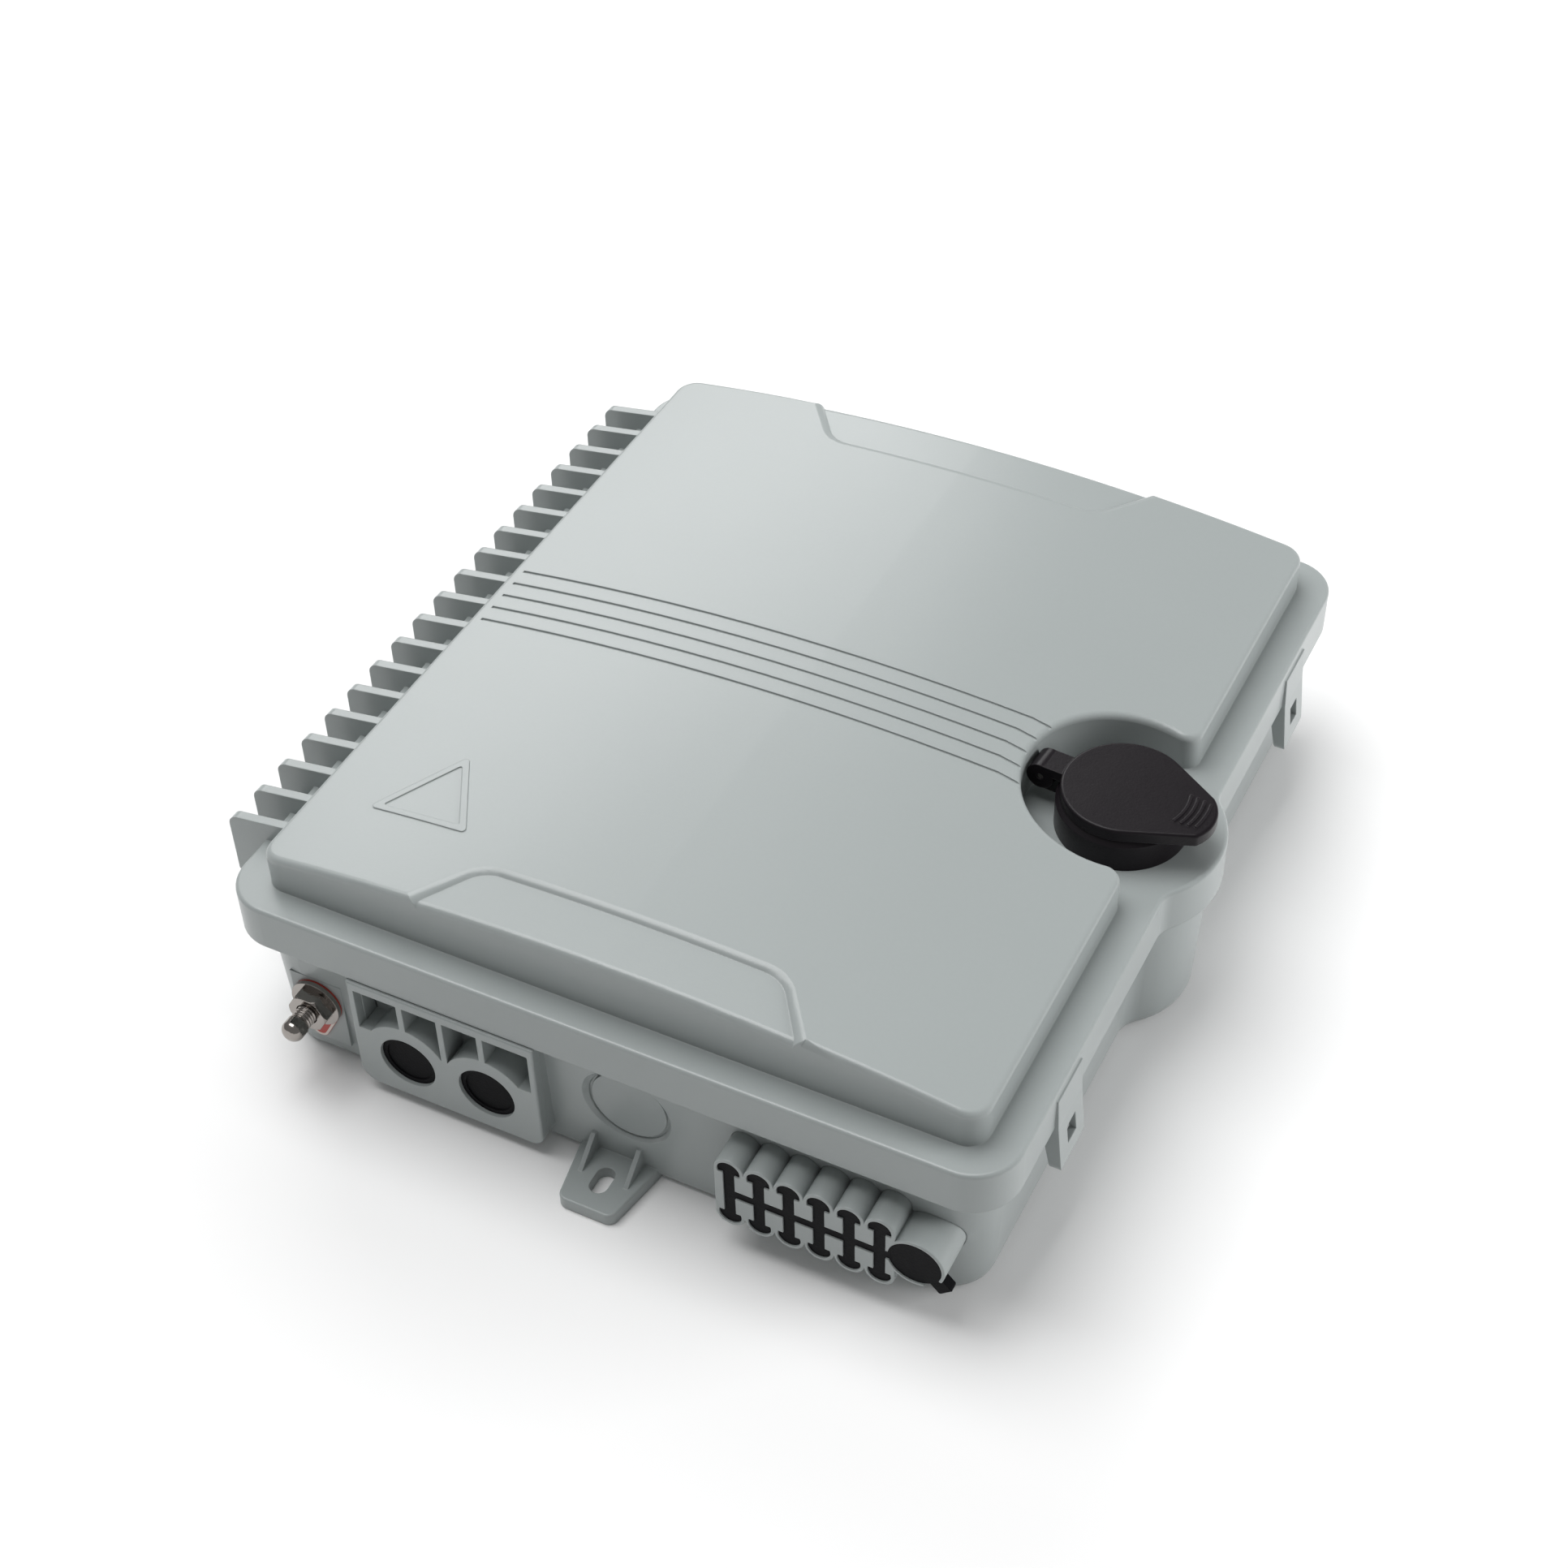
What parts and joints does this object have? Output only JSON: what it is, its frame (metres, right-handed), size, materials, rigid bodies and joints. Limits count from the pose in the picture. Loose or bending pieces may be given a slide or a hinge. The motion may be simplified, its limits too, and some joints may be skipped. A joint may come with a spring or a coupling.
{
  "type": "fiber termination box",
  "caption": "Wall-mounted fiber termination box: hinged lid with lock and flip cap, sealed cable ports, ground stud, adapter row and splice tray inside.",
  "frame": {"origin": "middle of the footprint, on the flat back that goes against the wall", "axes": "+X from the hinge side to the lock side, +Y away from the cable ports along the long side, +Z out of the wall through the lid"},
  "size_m": [0.2728, 0.3136, 0.0835],
  "materials": {
    "housing": "satin",
    "port_moulding": "satin",
    "black_rubber": "matte",
    "gasket": "matte",
    "black_plastic": "satin",
    "lock_metal": "polished",
    "steel": "satin",
    "zinc_sheet": "satin",
    "brass": "satin",
    "red_tag": "gloss",
    "inner_plastic": "matte",
    "tray_plastic": "matte",
    "clear_plastic": "clear",
    "adapter_green": "satin",
    "cap_white": "matte"
  },
  "bodies": {
    "base": {"base_shell": "housing", "base_gasket": "gasket", "hinge_pins": "steel", "trunk_port_block": "port_moulding", "trunk_plugs": "black_rubber", "drop_port_comb": "port_moulding", "drop_port_rubber": "black_rubber", "round_port_plug": "black_rubber", "ground_stud": "steel", "ground_tag": "red_tag", "ground_washer": "steel", "ground_nut": "steel", "ground_inner_nut": "steel", "ground_bar": "brass", "strike_plate": "zinc_sheet", "strike_screws": "steel", "cable_clamp_saddle": "inner_plastic", "cable_clamp_bars": "inner_plastic", "cable_clamp_screws": "steel", "clamp_foot_screws": "steel", "drop_cable_comb": "inner_plastic", "adapter_bracket": "zinc_sheet", "adapter_bracket_screws": "steel", "fiber_adapters": "adapter_green", "adapter_caps": "cap_white", "tray_bracket": "zinc_sheet", "tray_bracket_screws": "steel", "tray_pins": "steel", "fiber_guides": "inner_plastic"},
    "lid": {"lid_shell": "housing", "lock_housing": "black_plastic", "lock_seal": "black_rubber", "lock_nut": "lock_metal", "dust_cap_pin": "steel"},
    "lock_core": {"lock_core": "lock_metal", "lock_cam": "zinc_sheet", "cam_washer": "steel", "cam_screw": "steel"},
    "dust_cap": {"dust_cap": "black_plastic"},
    "splice_tray": {"splice_tray": "tray_plastic", "tray_cover": "clear_plastic", "splice_holder": "tray_plastic", "splice_sleeves": "steel", "splitter_module": "zinc_sheet"}
  },
  "joints": [
    {"name": "lid_hinge", "type": "hinge", "parent": "base", "child": "lid", "pos_m": [-0.131, 0, 0.05], "axis": [0, -1, 0], "range_deg": [0, 110]},
    {"name": "lock_turn", "type": "hinge", "parent": "lid", "child": "lock_core", "pos_m": [0.103, 0, 0.06], "axis": [0, 0, 1], "range_deg": [0, 90]},
    {"name": "cap_flip", "type": "hinge", "parent": "lid", "child": "dust_cap", "pos_m": [0.0773, 0.00227, 0.073], "axis": [-0.0872, -0.9962, 0], "range_deg": [0, 85]},
    {"name": "tray_swing", "type": "hinge", "parent": "base", "child": "splice_tray", "pos_m": [-0.104, 0.037, 0.035], "axis": [0, -1, 0], "range_deg": [0, 66]}
  ],
  "couplings": [
    {"joint": "tray_swing", "follows": "lid_hinge", "ratio": 0.6}
  ]
}
